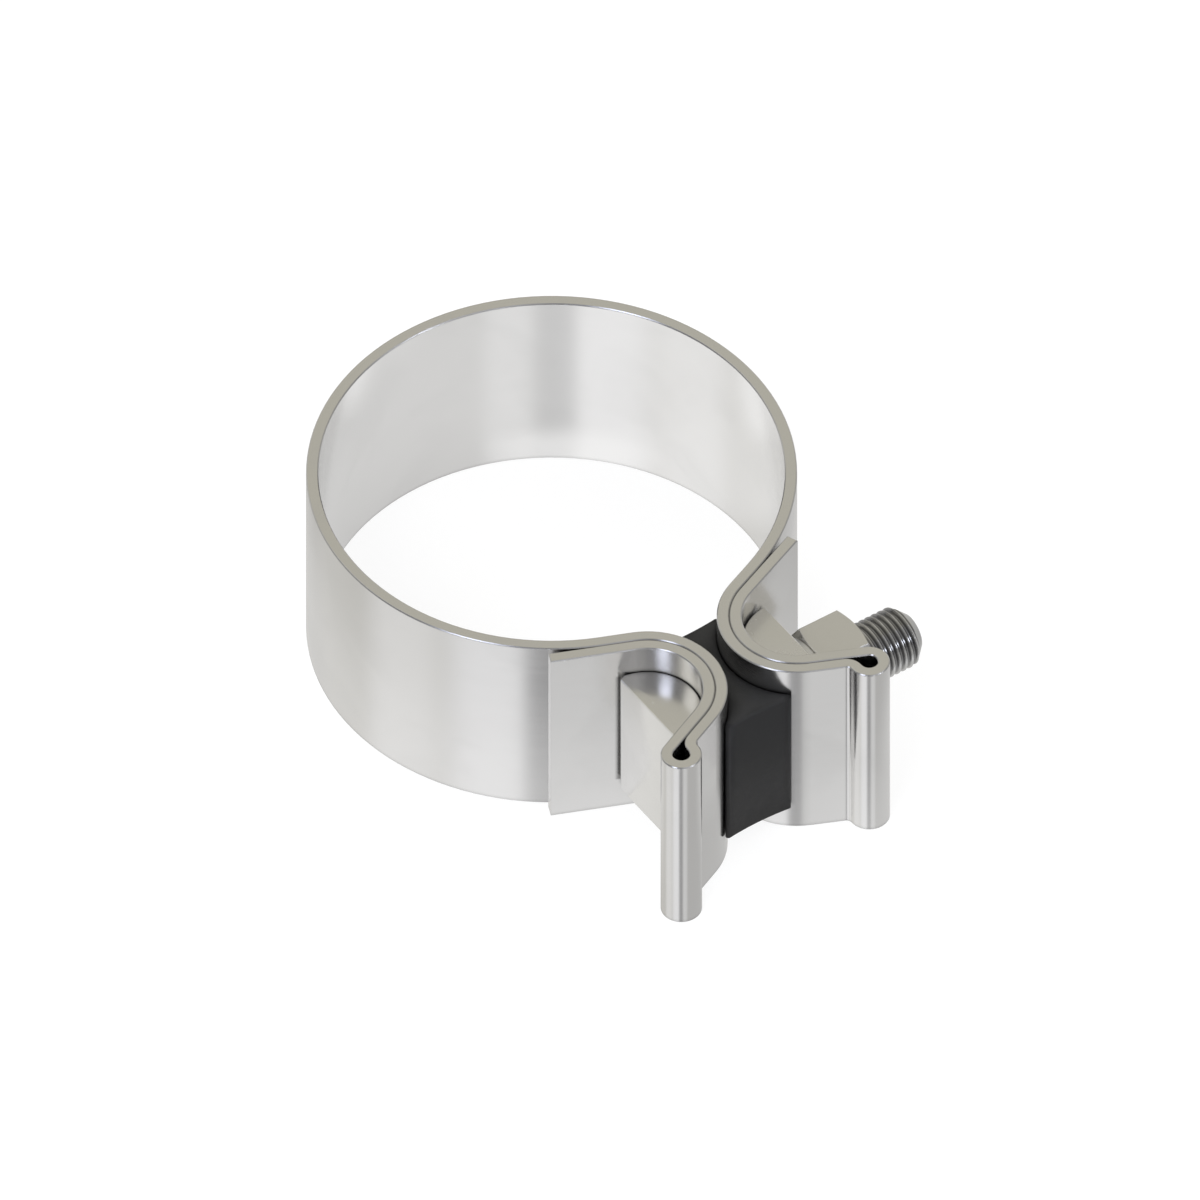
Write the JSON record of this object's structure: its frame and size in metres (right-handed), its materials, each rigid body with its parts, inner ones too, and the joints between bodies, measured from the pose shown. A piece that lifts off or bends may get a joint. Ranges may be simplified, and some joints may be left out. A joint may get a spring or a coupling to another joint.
{
  "type": "exhaust band clamp",
  "caption": "Wide one-piece folded steel band clamp with two doubled lugs, black hourglass spacer, half-round T-bolt, saddle bar, washer and hex nut for joining exhaust pipes.",
  "frame": {"origin": "on the pipe's axis, half-way along the band's width", "axes": "+Z along the pipe, +X along the bolt towards its nut, the gap between the lugs at -Y"},
  "size_m": [0.084, 0.1134, 0.0382],
  "materials": {
    "strip_steel": "bright rolled stainless, satin cut edges",
    "bolt_steel": "bright, satin head",
    "bar_steel": "satin",
    "washer_steel": "satin",
    "nut_steel": "satin",
    "spacer_black": "matt black coating"
  },
  "bodies": {
    "clamp": {"band": "strip_steel", "t_bolt": "bolt_steel", "saddle_bar": "bar_steel", "lug_spacer": "spacer_black"},
    "washer": {"thick_washer": "washer_steel"},
    "nut": {"hex_nut": "nut_steel"}
  },
  "joints": [
    {"name": "washer_slide", "type": "slide", "parent": "clamp", "child": "washer", "axis": [1, 0, 0], "range_m": [0, 0.0089]},
    {"name": "nut_turn", "type": "hinge", "parent": "washer", "child": "nut", "pos_m": [0.01876, -0.05091, 0], "axis": [1, 0, 0], "range_deg": [0, 2520]}
  ],
  "couplings": [
    {"joint": "washer_slide", "follows": "nut_turn", "m_per_rad": 0.00020213}
  ]
}
